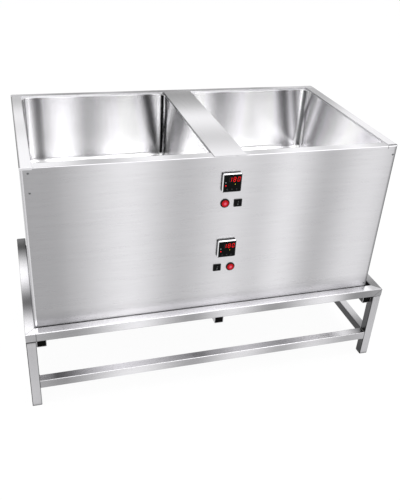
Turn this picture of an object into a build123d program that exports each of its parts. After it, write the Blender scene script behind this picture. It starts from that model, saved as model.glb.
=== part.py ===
"""Double-well wax dipping tank on a low welded stand.

Millimetres, +Z up. The origin is on the floor, at the middle of the whole object's footprint.
The front panel with its controls faces -Y, and +X is to the right of someone standing there.
"""
import os
from math import cos, radians, sin, sqrt

from build123d import *

os.makedirs("parts", exist_ok=True)

# Tank casing, folded from stainless sheet
sheet = 1.5                  # thickness of every sheet
tank_width = 930.0           # over the side rims
tank_depth = 522.5           # from the left rim's front to the back panel
tank_height = 454.0          # from the casing's bottom to the top of the rims
fold_radius = 2.5            # outside radius of the folds at the panels' top edges
left_rim_width = 27.0
right_rim_width = 25.0
front_rim_width = 27.0
back_rim_width = 20.5
back_rim_notch = 4.0         # the back rim's ends over the side panels stop short of its fold
rim_lip = 6.0                # from the side rims' top to the bottom of every folded edge
corner_gap = 0.3             # between sheets that butt side by side
front_strip = 5.5            # the left panel's flange that shows beside the front panel
edge_margin = 2.0            # the other panel edges stand back this far
right_rim_setback = 8.0      # the right rim stops behind the front panel's fold
corner_slit = 1.2            # relief cut in that fold, beside the right rim
corner_slit_inset = 2.0      # from the well's side of the right rim
corner_slit_drop = 7.0
side_flange = 28.5           # side panels, turned in behind the front and back panels
top_flange = 17.0            # side panels, turned in under the side rims
foot_flange = 15.0           # side panels, turned in under the base panel

# Wells and the strip between them
divider_width = 82.0
divider_from_left = 439.0    # left rim's outer edge to the divider's left edge
divider_end_inset = 1.0      # the divider's cover ends short of the left rim's front
well_setback = 0.5           # the well walls stand back behind the rim lips
well_mouth_radius = 1.5      # rounding where the well walls bend out into the flange
well_depth = 203.0           # rim top to well floor
well_corner = 22.0           # inside radius of the upright corners
well_floor_radius = 17.0     # inside radius where walls meet the floor
flange_clearance = 1.0       # well flanges to the casing walls

# Heating, insulation and sensing
heater_margin = 40.0         # from the well's inside walls to the heater mat's edge
heater_thickness = 4.0
floor_board = 25.0           # insulation under each heater
wall_board = 12.0            # insulation on the outer well walls
board_margin = 26.0          # wall boards stop short of the rounded corners
board_top_gap = 5.0
probe_boss_flats = 12.0
probe_boss_length = 8.0
probe_stem_diameter = 4.0
probe_stem_length = 16.0
probe_above_floor = 24.0     # above the well's floor
probe_from_front = 300.0

# Stand, welded square tube
tube = 25.0
tube_wall = 1.5
tube_corner = 2.5
left_gap = 1.0               # casing to left rail
right_gap = 14.5             # casing to right rail
front_gap = 1.5              # casing to front rail
stand_height = 236.0         # floor to the top of the upper rails
stand_depth = 481.0          # front face to back face
stretcher_top = 82.0         # above the floor
support_setback = 9.5        # support tube ends behind the front rail's face
foot_plate = 2.0             # welded plate that closes each leg
plug_depth = 12.0
plug_clearance = 0.1
plug_lip = 0.6               # how far a plug stands back inside its tube

# Controls, measured from the rims' top left corner
upper_controller_at = (486.2, 67.8)
lower_controller_at = (487.5, 251.3)
upper_button_at = (474.9, 125.0)
lower_button_at = (504.2, 311.0)
upper_switch_at = (508.4, 126.5)
lower_switch_at = (467.8, 309.9)

# Panel temperature controller
bezel_size = 48.0
bezel_depth = 10.0           # stands out of the panel
bezel_border = 3.2
bezel_chamfer = 2.6
bezel_round = 3.0
housing_size = 44.5
housing_depth = 75.0
cutout_clearance = 0.25      # controls to their panel cut-outs, each side
window_thickness = 1.5
window_recess = 0.2          # window behind the bezel's front edge
window_clearance = 0.1
key_width = 8.0
key_height = 4.0
key_round = 0.6
key_pitch = 12.0
key_drop = 16.0              # key row below the controller's middle
key_proud = 0.4
key_flange = 1.0             # the key's collar behind the window
key_flange_thickness = 0.8
key_clearance = 0.3
key_travel = 0.6
key_stop_gap = 0.5
clamp_size = 52.0
clamp_depth = 12.0
clamp_clearance = 0.2

# Illuminated push button
button_bezel_diameter = 23.5
button_bezel_height = 2.5
button_bezel_chamfer = 0.8
button_barrel_diameter = 20.0
button_barrel_length = 28.0
button_bore_diameter = 18.0
button_cap_clearance = 0.3
button_cap_proud = 1.5       # cap front in front of the bezel
button_cap_dome = 1.2
button_cap_skirt = 5.0       # cap body behind the bezel's front face
button_travel = 2.5
button_stop_gap = 0.5
button_nut_diameter = 25.0
button_nut_thickness = 4.0
button_nut_clearance = 0.1

# Rocker switch
switch_bezel_width = 21.0
switch_bezel_height = 20.0
switch_bezel_depth = 2.0
switch_bezel_chamfer = 0.5
switch_bezel_round = 1.5
switch_body_width = 17.6
switch_body_height = 17.6
switch_body_depth = 20.5
rocker_radius = 7.4          # the rocker's rounded ends turn about its pin
rocker_width = 14.0
rocker_clearance = 0.3
rocker_dish = 1.8            # pin to the middle of the dished front
rocker_reach = 3.0           # pin to the front's raised ends
rocker_back = 2.5            # pin to the rocker's flat back
rocker_tilt = 11.0           # degrees either way from level
rocker_pin_inset = 2.0       # pin behind the bezel's front face
rocker_pin_diameter = 2.0
rocker_pin_length = 1.2
rocker_pin_clearance = 0.05
switch_pocket_spare = 1.5    # pocket floor behind the rocker at either end of its tilt

# Rivets that hold the front and back panels
rivet_diameter = 4.0
rivet_head_diameter = 5.6
rivet_head_height = 0.9
rivet_head_taper = 20.0      # degrees
rivet_tail_diameter = 6.0
rivet_tail_height = 1.5
rivet_hole_clearance = 0.1
left_rivets_at = [(18.0, 14.3), (18.0, 61.7)]     # from the rims' top left corner
right_rivet_inset = 10.8     # from the rims' right side
right_rivet_drop = 25.2      # below the rims' top
right_rivet_rise = 34.8      # above the casing's bottom
back_rivet_inset = 18.0      # from the side of the rims
back_rivet_drop = 25.0       # below the rims' top, and as far above the casing's bottom

# Parts on the base panel and the cable entry
relay_size = (58.0, 45.0, 25.0)
relay_places = [(600.0, 260.0), (690.0, 260.0)]   # from the rims' left and front
terminal_size = (90.0, 22.0, 17.0)
terminal_place = (150.0, 82.5)                    # from the rims' right and the back panel
terminal_slot = (6.0, 8.0)
terminal_poles = 8
gland_place = (110.0, 60.0)  # from the rims' right, and above the casing's bottom
gland_thread_diameter = 20.0
gland_bore_diameter = 10.0
gland_flats = 24.0
gland_reach = 18.0           # stands out of the back panel
gland_flange_height = 6.0
gland_dome_diameter = 21.0
gland_dome_round = 3.0
gland_inside_length = 12.0
gland_nut_flats = 26.0
gland_nut_thickness = 5.0
gland_hole_clearance = 0.1

# Places worked out from the sizes above
sheet_edge_radius = 0.9 * sheet       # a fold where the sheet below is only one thickness
casing_width = tank_width - 2 * sheet
casing_depth = tank_depth - sheet
overall_width = 2 * tube + left_gap + casing_width + right_gap
overall_depth = tube + front_gap + casing_depth + gland_reach

stand_left = -overall_width / 2
stand_right = overall_width / 2
stand_front = -overall_depth / 2
stand_back = stand_front + stand_depth
rail_bottom = stand_height - tube

casing_left = stand_left + tube + left_gap
casing_right = casing_left + casing_width
casing_front = stand_front + tube + front_gap
casing_back = casing_front + casing_depth
casing_bottom = rail_bottom

rim_left = casing_left - sheet
rim_right = casing_right + sheet
rim_front = casing_front - sheet
rim_top = casing_bottom + tank_height
fold_top = rim_top - sheet            # top of the front panel's folded rim
fold_under = fold_top - sheet
lip_bottom = rim_top - rim_lip        # the hemmed lips stand on the wells' flanges
hem = 2 * sheet                       # thickness of a lip, folded back on itself

opening_left = rim_left + left_rim_width
opening_right = rim_right - right_rim_width
opening_front = rim_front + front_rim_width
opening_back = casing_back - back_rim_width
divider_left = rim_left + divider_from_left
divider_right = divider_left + divider_width
divider_middle = (divider_left + divider_right) / 2

well_front = opening_front - well_setback
well_back = opening_back + well_setback
well_floor = rim_top - well_depth
well_spans = {
    "left": (opening_left - well_setback, divider_left + well_setback),
    "right": (divider_right - well_setback, opening_right + well_setback),
}


def on_front(place):
    """Turn a place measured from the rims' top left corner into X and Z."""
    across, down = place
    return rim_left + across, rim_top - down


def block(low, high, mode=Mode.ADD):
    """Add or cut the block between two opposite corners."""
    centre = [(a + b) / 2 for a, b in zip(low, high)]
    size = [b - a for a, b in zip(low, high)]
    with Locations(Vector(*centre)):
        Box(*size, mode=mode)


def facing_front(x, z, y):
    """A plane at depth y whose normal points to the front, with its local X to the right."""
    return Plane(origin=(x, y, z), x_dir=(1, 0, 0), z_dir=(0, -1, 0))


def save(name, piece):
    """Label a finished piece and write it."""
    piece.part.label = name
    export_step(piece.part, f"parts/{name}.step")


# Stand
def square_tube(start, end, side, foot=None):
    """A straight square tube along its axis from start to end, closed by a foot plate if asked."""
    along = (Vector(*end) - Vector(*start)).normalized()
    length = (Vector(*end) - Vector(*start)).length
    with BuildPart() as piece:
        with BuildSketch(Plane(origin=start, x_dir=side, z_dir=along)):
            RectangleRounded(tube, tube, tube_corner)
            RectangleRounded(tube - 2 * tube_wall, tube - 2 * tube_wall, tube_corner - tube_wall,
                             mode=Mode.SUBTRACT)
        extrude(amount=length)
        if foot:
            with BuildSketch(Plane(origin=start, x_dir=side, z_dir=along)):
                RectangleRounded(tube - 2 * tube_wall, tube - 2 * tube_wall, tube_corner - tube_wall)
            extrude(amount=foot)
    return piece


half = tube / 2
left_axis = stand_left + half
right_axis = stand_right - half
front_axis = stand_front + half
back_axis = stand_back - half
rail_axis_z = stand_height - half
support_axis_z = rail_bottom - half
inner_left = stand_left + tube
inner_right = stand_right - tube
inner_front = stand_front + tube
inner_back = stand_back - tube
stretcher_z = stretcher_top - half

# The upper frame's front corners are mitred, so each rail is cut on the diagonal
front_left_mitre = Plane(origin=(left_axis, front_axis, rail_axis_z), z_dir=(1, -1, 0))
front_right_mitre = Plane(origin=(right_axis, front_axis, rail_axis_z), z_dir=(-1, -1, 0))

front_top_rail = square_tube((stand_left, front_axis, rail_axis_z),
                             (stand_right, front_axis, rail_axis_z), (0, 1, 0))
with front_top_rail:
    split(bisect_by=front_left_mitre, keep=Keep.TOP)
    split(bisect_by=front_right_mitre, keep=Keep.TOP)
save("front_top_rail", front_top_rail)

left_top_rail = square_tube((left_axis, stand_front, rail_axis_z),
                            (left_axis, stand_back, rail_axis_z), (1, 0, 0))
with left_top_rail:
    split(bisect_by=front_left_mitre, keep=Keep.BOTTOM)
save("left_top_rail", left_top_rail)

right_top_rail = square_tube((right_axis, stand_front, rail_axis_z),
                             (right_axis, stand_back, rail_axis_z), (1, 0, 0))
with right_top_rail:
    split(bisect_by=front_right_mitre, keep=Keep.BOTTOM)
save("right_top_rail", right_top_rail)

# The casing reaches past the back of the stand, so the back rail lies under it, level with the supports
back_top_rail = square_tube((inner_left, back_axis, support_axis_z),
                            (inner_right, back_axis, support_axis_z), (0, 1, 0))
save("back_top_rail", back_top_rail)

leg_places = {
    "front_left_leg": (left_axis, front_axis),
    "front_right_leg": (right_axis, front_axis),
    "back_left_leg": (left_axis, back_axis),
    "back_right_leg": (right_axis, back_axis),
}
for name, (x, y) in leg_places.items():
    leg = square_tube((x, y, 0), (x, y, rail_bottom), (1, 0, 0), foot=foot_plate)
    save(name, leg)

stretcher_runs = {
    "front_stretcher": ((inner_left, front_axis), (inner_right, front_axis), (0, 1, 0)),
    "back_stretcher": ((inner_left, back_axis), (inner_right, back_axis), (0, 1, 0)),
    "left_stretcher": ((left_axis, inner_front), (left_axis, inner_back), (1, 0, 0)),
    "right_stretcher": ((right_axis, inner_front), (right_axis, inner_back), (1, 0, 0)),
}
for name, (start, end, side) in stretcher_runs.items():
    stretcher = square_tube((*start, stretcher_z), (*end, stretcher_z), side)
    save(name, stretcher)

support_front = stand_front + support_setback
support_places = {
    "left_support_tube": inner_left + half,
    "centre_support_tube": divider_middle,
    "right_support_tube": inner_right - half,
}
for name, x in support_places.items():
    support = square_tube((x, support_front, support_axis_z), (x, inner_back, support_axis_z), (1, 0, 0))
    save(name, support)

plug_size = tube - 2 * tube_wall - 2 * plug_clearance
plug_corner = tube_corner - tube_wall
with BuildPart() as tube_plugs:
    for x in support_places.values():
        with BuildSketch(facing_front(x, support_axis_z, support_front + plug_lip)):
            RectangleRounded(plug_size, plug_size, plug_corner)
        extrude(amount=-plug_depth)
    for x in (left_axis, right_axis):
        with BuildSketch(facing_front(x, rail_axis_z, stand_back - plug_lip)):
            RectangleRounded(plug_size, plug_size, plug_corner)
        extrude(amount=plug_depth)
save("tube_plugs", tube_plugs)

# Casing
controller_places = {"upper": on_front(upper_controller_at), "lower": on_front(lower_controller_at)}
button_places = {"upper": on_front(upper_button_at), "lower": on_front(lower_button_at)}
switch_places = {"upper": on_front(upper_switch_at), "lower": on_front(lower_switch_at)}
front_rivet_places = [on_front(place) for place in left_rivets_at]
front_rivet_places.append((rim_right - right_rivet_inset, rim_top - right_rivet_drop))
front_rivet_places.append((rim_right - right_rivet_inset, casing_bottom + right_rivet_rise))
back_rivet_places = [
    (x, z)
    for x in (rim_left + back_rivet_inset, rim_right - back_rivet_inset)
    for z in (casing_bottom + back_rivet_drop, rim_top - back_rivet_drop)
]
gland_x = rim_right - gland_place[0]
gland_z = casing_bottom + gland_place[1]
rivet_hole_radius = rivet_diameter / 2 + rivet_hole_clearance
flange_front = casing_front + sheet       # front face of the flange behind the front panel
flange_back = casing_back - sheet         # back face of the flange behind the back panel
rim_spans = [(opening_left, divider_left), (divider_right, opening_right)]

with BuildPart() as front_panel:
    block((casing_left + front_strip, casing_front, casing_bottom),
          (casing_right - edge_margin, casing_front + sheet, fold_top))
    block((casing_left + front_strip, casing_front, fold_under),
          (casing_right - edge_margin, opening_front, fold_top))
    for x0, x1 in rim_spans:
        block((x0, opening_front - hem, lip_bottom), (x1, opening_front, fold_top))
    top_front_edge = front_panel.edges().filter_by(Axis.X).group_by(Axis.Y)[0].sort_by(Axis.Z)[-1]
    fillet(top_front_edge, radius=fold_radius)
    slit_x = opening_right - corner_slit_inset
    block((slit_x - corner_slit, casing_front, fold_top - corner_slit_drop),
          (slit_x, casing_front + hem, fold_top), mode=Mode.SUBTRACT)
    for x, z in controller_places.values():
        with BuildSketch(facing_front(x, z, casing_front)):
            Rectangle(housing_size + 2 * cutout_clearance, housing_size + 2 * cutout_clearance)
        extrude(amount=-sheet, mode=Mode.SUBTRACT)
    for x, z in switch_places.values():
        with BuildSketch(facing_front(x, z, casing_front)):
            Rectangle(switch_body_width + 2 * cutout_clearance, switch_body_height + 2 * cutout_clearance)
        extrude(amount=-sheet, mode=Mode.SUBTRACT)
    for x, z in button_places.values():
        with BuildSketch(facing_front(x, z, casing_front)):
            Circle(button_barrel_diameter / 2 + cutout_clearance)
        extrude(amount=-sheet, mode=Mode.SUBTRACT)
    for x, z in front_rivet_places:
        with BuildSketch(facing_front(x, z, casing_front)):
            Circle(rivet_hole_radius)
        extrude(amount=-sheet, mode=Mode.SUBTRACT)
save("front_panel", front_panel)

with BuildPart() as back_panel:
    block((casing_left + edge_margin, casing_back - sheet, casing_bottom),
          (casing_right - edge_margin, casing_back, rim_top))
    block((casing_left + edge_margin, opening_back, fold_top),
          (casing_right - edge_margin, casing_back, rim_top))
    for x0, x1 in rim_spans:
        block((x0, opening_back, lip_bottom), (x1, opening_back + hem, rim_top))
    top_back_edge = back_panel.edges().filter_by(Axis.X).group_by(Axis.Y)[-1].sort_by(Axis.Z)[-1]
    fillet(top_back_edge, radius=fold_radius)
    rim_end = casing_back - back_rim_notch
    block((rim_left, opening_back, fold_top), (rim_right, rim_end, rim_top))
    block((rim_left, opening_back, lip_bottom), (casing_left, rim_end, rim_top))
    block((casing_right, opening_back, lip_bottom), (rim_right, rim_end, rim_top))
    end_edges = back_panel.edges().filter_by(Axis.Y).group_by(Axis.Z)[-1].sort_by(Axis.X)
    fillet([end_edges[0], end_edges[-1]], radius=sheet_edge_radius)
    with BuildSketch(facing_front(gland_x, gland_z, casing_back)):
        Circle(gland_thread_diameter / 2 + gland_hole_clearance)
    extrude(amount=sheet, mode=Mode.SUBTRACT)
    for x, z in back_rivet_places:
        with BuildSketch(facing_front(x, z, casing_back)):
            Circle(rivet_hole_radius)
        extrude(amount=sheet, mode=Mode.SUBTRACT)
save("back_panel", back_panel)


def side_panel(outer_x, inward):
    """A side panel folded in at its front, back, top and bottom; inward is +1 on the left side."""
    inner_x = outer_x + inward * sheet

    def across(y0, y1, z0, z1, reach, start):
        """A stretch of the panel from X start to start + reach inwards."""
        low_x, high_x = sorted((start, start + inward * reach))
        block((low_x, y0, z0), (high_x, y1, z1))

    with BuildPart() as panel:
        across(flange_front, flange_back, casing_bottom, fold_top, sheet, outer_x)
        across(flange_front, flange_front + sheet, casing_bottom, fold_under, side_flange, outer_x)
        across(flange_back - sheet, flange_back, casing_bottom, fold_under, side_flange, outer_x)
        across(opening_front + corner_gap, opening_back - corner_gap, fold_under, fold_top,
               top_flange, inner_x)
        across(flange_front + sheet, flange_back - sheet, casing_bottom, casing_bottom + sheet,
               foot_flange, inner_x)
        upright_edges = panel.edges().filter_by(Axis.Z).filter_by_position(
            Axis.X, outer_x - corner_gap, outer_x + corner_gap)
        fillet(upright_edges, radius=sheet_edge_radius)
        for x, z in front_rivet_places:
            with BuildSketch(facing_front(x, z, flange_front)):
                Circle(rivet_hole_radius)
            extrude(amount=-sheet, mode=Mode.SUBTRACT)
        for x, z in back_rivet_places:
            with BuildSketch(facing_front(x, z, flange_back)):
                Circle(rivet_hole_radius)
            extrude(amount=sheet, mode=Mode.SUBTRACT)
    return panel


left_side_panel = side_panel(casing_left, 1)
save("left_side_panel", left_side_panel)

right_side_panel = side_panel(casing_right, -1)
save("right_side_panel", right_side_panel)

base_top = casing_bottom + 2 * sheet
with BuildPart() as base_panel:
    block((casing_left + sheet, flange_front + sheet, casing_bottom + sheet),
          (casing_right - sheet, flange_back - sheet, base_top))
save("base_panel", base_panel)


def side_rim(outer_x, inner_x, front_end):
    """A cap strip over a side panel, turned down outside and at the well, and in front if it gets there."""
    inward = 1 if inner_x > outer_x else -1
    x0, x1 = sorted((outer_x, inner_x))
    outer_x0, outer_x1 = sorted((outer_x, outer_x + inward * sheet))
    inner_x0, inner_x1 = sorted((inner_x, inner_x - inward * hem))
    back_end = opening_back - corner_gap
    with BuildPart() as rim:
        block((x0, front_end, fold_top), (x1, back_end, rim_top))
        block((outer_x0, front_end, lip_bottom), (outer_x1, back_end, rim_top))
        block((inner_x0, opening_front + corner_gap, lip_bottom), (inner_x1, back_end, rim_top))
        if front_end < casing_front:
            block((x0, front_end, lip_bottom), (x1, casing_front, rim_top))
        outer_top_edges = rim.faces().sort_by(Axis.Z)[-1].outer_wire().edges()
        fillet(outer_top_edges, radius=sheet_edge_radius)
    return rim


left_rim = side_rim(rim_left, opening_left, rim_front)
save("left_rim", left_rim)

right_rim = side_rim(rim_right, opening_right, rim_front + right_rim_setback)
save("right_rim", right_rim)

with BuildPart() as divider_cover:
    block((divider_left, rim_front + divider_end_inset, fold_top),
          (divider_right, opening_back - corner_gap, rim_top))
    for x0 in (divider_left, divider_right - hem):
        block((x0, opening_front + corner_gap, lip_bottom),
              (x0 + hem, opening_back - corner_gap, rim_top))
    long_top_edges = divider_cover.edges().filter_by(Axis.Y).group_by(Axis.Z)[-1]
    fillet(long_top_edges, radius=sheet_edge_radius)
save("divider_cover", divider_cover)

# Wells, pressed pans with rounded corners and a flange welded under the rims
well_flange_spans = {
    "left": (casing_left + sheet + flange_clearance, divider_middle - corner_gap),
    "right": (divider_middle + corner_gap, casing_right - sheet - flange_clearance),
}
flange_y0 = flange_front + sheet + flange_clearance
flange_y1 = flange_back - sheet - flange_clearance
flange_under = lip_bottom - sheet
well_middle_y = (well_front + well_back) / 2
well_length = well_back - well_front


def rounded_pan(span, wall):
    """The block that a pan with this wall fills, down to its rounded floor; no wall is its inside."""
    x0, x1 = span
    with BuildPart() as filled:
        with BuildSketch(Plane.XY.offset(well_floor - wall)):
            with Locations(((x0 + x1) / 2, well_middle_y)):
                RectangleRounded(x1 - x0 + 2 * wall, well_length + 2 * wall, well_corner + wall)
        extrude(amount=lip_bottom - well_floor + wall)
        fillet(filled.faces().sort_by(Axis.Z)[0].edges(), radius=well_floor_radius + wall)
    return filled


def well(span, flange_span):
    """One open well with its flange."""
    outside = rounded_pan(span, sheet)
    inside = rounded_pan(span, 0)
    with BuildPart() as pan:
        add(outside.part)
        block((flange_span[0], flange_y0, flange_under), (flange_span[1], flange_y1, lip_bottom))
        add(inside.part, mode=Mode.SUBTRACT)
        mouth_edges = pan.faces().sort_by(Axis.Z)[-1].inner_wires()[0].edges()
        fillet(mouth_edges, radius=well_mouth_radius)
    return pan


left_well = well(well_spans["left"], well_flange_spans["left"])
save("left_well", left_well)

right_well = well(well_spans["right"], well_flange_spans["right"])
save("right_well", right_well)

# Heater mats and insulation boards
pan_under = well_floor - sheet
heater_under = pan_under - heater_thickness
board_under = heater_under - floor_board
board_top = flange_under - board_top_gap
board_bottom = well_floor + well_floor_radius
for side, (x0, x1) in well_spans.items():
    mat_low = (x0 + heater_margin, well_front + heater_margin)
    mat_high = (x1 - heater_margin, well_back - heater_margin)
    with BuildPart() as heater:
        block((*mat_low, heater_under), (*mat_high, pan_under))
        fillet(heater.edges().filter_by(Axis.Z), radius=well_corner)
    save(f"{side}_heater", heater)

    outer_wall = x0 - sheet if side == "left" else x1 + sheet
    outward = -1 if side == "left" else 1
    outer_board = sorted((outer_wall, outer_wall + outward * wall_board))
    with BuildPart() as insulation:
        block((*mat_low, board_under), (*mat_high, heater_under))
        block((x0 + board_margin, well_front - sheet - wall_board, board_bottom),
              (x1 - board_margin, well_front - sheet, board_top))
        block((x0 + board_margin, well_back + sheet, board_bottom),
              (x1 - board_margin, well_back + sheet + wall_board, board_top))
        block((outer_board[0], well_front + board_margin, board_bottom),
              (outer_board[1], well_back - board_margin, board_top))
    save(f"{side}_insulation", insulation)

probe_y = rim_front + probe_from_front
probe_z = well_floor + probe_above_floor
with BuildPart() as temperature_probes:
    for wall_x, toward in ((well_spans["left"][1] + sheet, 1), (well_spans["right"][0] - sheet, -1)):
        with BuildSketch(Plane(origin=(wall_x, probe_y, probe_z), x_dir=(0, 1, 0), z_dir=(toward, 0, 0))):
            RegularPolygon(probe_boss_flats / 2, 6, major_radius=False)
        extrude(amount=probe_boss_length)
        with BuildSketch(Plane(origin=(wall_x, probe_y, probe_z), x_dir=(0, 1, 0), z_dir=(toward, 0, 0))):
            Circle(probe_stem_diameter / 2)
        extrude(amount=probe_boss_length + probe_stem_length)
save("temperature_probes", temperature_probes)

# Rivets, one solid each
with BuildPart() as panel_rivets:
    rivet_rows = ((front_rivet_places, casing_front, -1), (back_rivet_places, casing_back, 1))
    for places, face_y, outward in rivet_rows:
        for x, z in places:
            with BuildSketch(Plane(origin=(x, face_y, z), x_dir=(1, 0, 0), z_dir=(0, outward, 0))):
                Circle(rivet_head_diameter / 2)
            extrude(amount=rivet_head_height, taper=rivet_head_taper)
            with BuildSketch(Plane(origin=(x, face_y, z), x_dir=(1, 0, 0), z_dir=(0, -outward, 0))):
                Circle(rivet_diameter / 2)
            extrude(amount=2 * sheet + rivet_tail_height)
            with BuildSketch(Plane(origin=(x, face_y - outward * 2 * sheet, z), x_dir=(1, 0, 0),
                                   z_dir=(0, -outward, 0))):
                Circle(rivet_tail_diameter / 2)
            extrude(amount=rivet_tail_height)
save("panel_rivets", panel_rivets)

# Controllers
bezel_front = casing_front - bezel_depth
window_front = bezel_front + window_recess
window_back = window_front + window_thickness
key_front = window_front - key_proud
key_collar_front = window_back + key_clearance
key_back = key_collar_front + key_flange_thickness
key_pocket_floor = key_back + key_travel + key_stop_gap
window_size = bezel_size - 2 * bezel_border - 2 * window_clearance
key_names = {"mode": -key_pitch, "down": 0.0, "up": key_pitch}

for level, (x, z) in controller_places.items():
    key_z = z - key_drop
    with BuildPart() as case:
        with BuildSketch(facing_front(x, z, casing_front)):
            RectangleRounded(bezel_size, bezel_size, bezel_round)
        extrude(amount=bezel_depth)
        chamfer(case.faces().sort_by(Axis.Y)[0].edges(), length=bezel_chamfer)
        with BuildSketch(facing_front(x, z, casing_front)):
            Rectangle(housing_size, housing_size)
        extrude(amount=-housing_depth)
        with BuildSketch(facing_front(x, z, bezel_front)):
            Rectangle(bezel_size - 2 * bezel_border, bezel_size - 2 * bezel_border)
        extrude(amount=-(window_back - bezel_front), mode=Mode.SUBTRACT)
        with BuildSketch(facing_front(x, key_z, window_back)):
            Rectangle(2 * key_pitch + key_width + 2 * key_flange + 2 * key_clearance,
                      key_height + 2 * key_flange + 2 * key_clearance)
        extrude(amount=-(key_pocket_floor - window_back), mode=Mode.SUBTRACT)
    save(f"{level}_controller_case", case)

    with BuildPart() as window:
        with BuildSketch(facing_front(x, z, window_front)):
            Rectangle(window_size, window_size)
        extrude(amount=-window_thickness)
        with BuildSketch(facing_front(x, key_z, window_front)):
            with Locations(*[(offset_x, 0) for offset_x in key_names.values()]):
                Rectangle(key_width + 2 * key_clearance, key_height + 2 * key_clearance)
        extrude(amount=-window_thickness, mode=Mode.SUBTRACT)
    save(f"{level}_controller_window", window)

    for key_name, offset_x in key_names.items():
        with BuildPart() as key:
            with BuildSketch(facing_front(x + offset_x, key_z, key_front)):
                RectangleRounded(key_width, key_height, key_round)
            extrude(amount=-(key_collar_front - key_front))
            with BuildSketch(facing_front(x + offset_x, key_z, key_collar_front)):
                Rectangle(key_width + 2 * key_flange, key_height + 2 * key_flange)
            extrude(amount=-key_flange_thickness)
        save(f"{level}_{key_name}_key", key)

with BuildPart() as controller_clamps:
    for x, z in controller_places.values():
        with BuildSketch(facing_front(x, z, flange_front)):
            RectangleRounded(clamp_size, clamp_size, bezel_round)
            Rectangle(housing_size + 2 * clamp_clearance, housing_size + 2 * clamp_clearance,
                      mode=Mode.SUBTRACT)
        extrude(amount=-clamp_depth)
save("controller_clamps", controller_clamps)

# Push buttons
button_front = casing_front - button_bezel_height
cap_front = button_front - button_cap_proud
cap_back = button_front + button_cap_skirt
bore_floor = cap_back + button_travel + button_stop_gap
cap_diameter = button_bore_diameter - 2 * button_cap_clearance
for level, (x, z) in button_places.items():
    with BuildPart() as button_body:
        with BuildSketch(facing_front(x, z, casing_front)):
            Circle(button_bezel_diameter / 2)
        extrude(amount=button_bezel_height)
        chamfer(button_body.faces().sort_by(Axis.Y)[0].edges(), length=button_bezel_chamfer)
        with BuildSketch(facing_front(x, z, casing_front)):
            Circle(button_barrel_diameter / 2)
        extrude(amount=-button_barrel_length)
        with BuildSketch(facing_front(x, z, button_front)):
            Circle(button_bore_diameter / 2)
        extrude(amount=-(bore_floor - button_front), mode=Mode.SUBTRACT)
    save(f"{level}_button_body", button_body)

    with BuildPart() as cap:
        with BuildSketch(facing_front(x, z, cap_back)):
            Circle(cap_diameter / 2)
        extrude(amount=cap_back - cap_front)
        fillet(cap.faces().sort_by(Axis.Y)[0].edges(), radius=button_cap_dome)
    save(f"{level}_button_cap", cap)

with BuildPart() as button_nuts:
    for x, z in button_places.values():
        with BuildSketch(facing_front(x, z, flange_front)):
            RegularPolygon(button_nut_diameter / 2, 6, major_radius=True)
            Circle(button_barrel_diameter / 2 + button_nut_clearance, mode=Mode.SUBTRACT)
        extrude(amount=-button_nut_thickness)
save("button_nuts", button_nuts)

# Rocker switches
switch_front = casing_front - switch_bezel_depth
rocker_pin_y = switch_front + rocker_pin_inset
rocker_end_height = sqrt(rocker_radius**2 - rocker_reach**2)
rocker_back_reach = rocker_back * cos(radians(rocker_tilt)) + rocker_radius * sin(radians(rocker_tilt))
pocket_half_height = rocker_radius + rocker_clearance
pocket_width = rocker_width + 2 * rocker_clearance
pocket_depth = rocker_pin_inset + rocker_back_reach + switch_pocket_spare
for level, (x, z) in switch_places.items():
    with BuildPart() as switch_housing:
        with BuildSketch(facing_front(x, z, casing_front)):
            RectangleRounded(switch_bezel_width, switch_bezel_height, switch_bezel_round)
        extrude(amount=switch_bezel_depth)
        chamfer(switch_housing.faces().sort_by(Axis.Y)[0].edges(), length=switch_bezel_chamfer)
        with BuildSketch(facing_front(x, z, casing_front)):
            Rectangle(switch_body_width, switch_body_height)
        extrude(amount=-switch_body_depth)
        with BuildSketch(facing_front(x, z, switch_front)):
            Rectangle(pocket_width, 2 * pocket_half_height)
        extrude(amount=-pocket_depth, mode=Mode.SUBTRACT)
        with Locations(Location((x, rocker_pin_y, z), (0, 90, 0))):
            Cylinder(rocker_pin_diameter / 2 + rocker_pin_clearance,
                     rocker_width + 2 * rocker_pin_length + 2 * rocker_clearance, mode=Mode.SUBTRACT)
    save(f"{level}_switch_housing", switch_housing)

    # The rocker's side view about its pin, upper end out: local x runs to the back and local y up
    side_view = Plane(origin=(x - rocker_width / 2, rocker_pin_y, z), z_dir=(1, 0, 0),
                      x_dir=(0, cos(radians(rocker_tilt)), sin(radians(rocker_tilt))))
    with BuildPart() as rocker:
        with BuildSketch(side_view):
            Circle(rocker_radius)
            with BuildLine():
                Polyline(
                    (-rocker_reach, -rocker_radius), (rocker_back, -rocker_radius),
                    (rocker_back, rocker_radius), (-rocker_reach, rocker_radius),
                    (-rocker_reach, rocker_end_height), (-rocker_dish, 0),
                    (-rocker_reach, -rocker_end_height), close=True)
            make_face(mode=Mode.INTERSECT)
        extrude(amount=rocker_width)
        with Locations(Location((x, rocker_pin_y, z), (0, 90, 0))):
            Cylinder(rocker_pin_diameter / 2, rocker_width + 2 * rocker_pin_length)
    save(f"{level}_rocker", rocker)

# Parts on the base panel
with BuildPart() as solid_state_relays:
    for across, back in relay_places:
        x, y = rim_left + across, rim_front + back
        block((x - relay_size[0] / 2, y - relay_size[1] / 2, base_top),
              (x + relay_size[0] / 2, y + relay_size[1] / 2, base_top + relay_size[2]))
save("solid_state_relays", solid_state_relays)

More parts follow.
